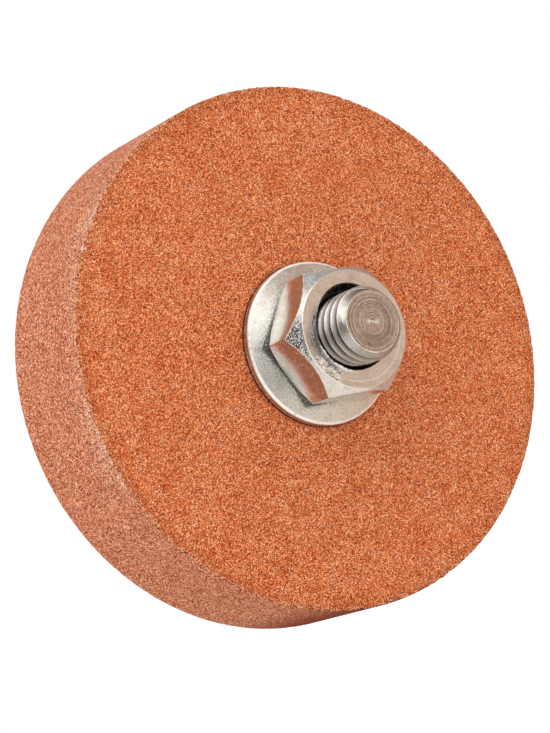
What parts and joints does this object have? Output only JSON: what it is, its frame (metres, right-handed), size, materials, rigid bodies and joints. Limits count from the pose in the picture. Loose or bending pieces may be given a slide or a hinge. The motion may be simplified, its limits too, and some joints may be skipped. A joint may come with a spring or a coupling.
{
  "type": "sharpener grinding wheel",
  "caption": "Small orange bonded abrasive wheel clamped between a turned steel arbor's collar and a hexagon flange nut, with a plain round shank behind.",
  "frame": {"origin": "on the common axis at the back face of the arbor's collar, where the shank starts", "axes": "Y is the common axis of the wheel, the arbor and the nut: the shank points along +Y and the nut faces -Y; a corner of the nut's hexagon is on +Z"},
  "size_m": [0.056, 0.0587, 0.056],
  "materials": {
    "bonded_abrasive": "matte",
    "turned_steel": "satin",
    "zinc_plated_steel": "gloss"
  },
  "bodies": {
    "root": {"grinding_wheel": "bonded_abrasive", "arbor": "turned_steel", "flange_nut": "zinc_plated_steel"}
  },
  "joints": []
}
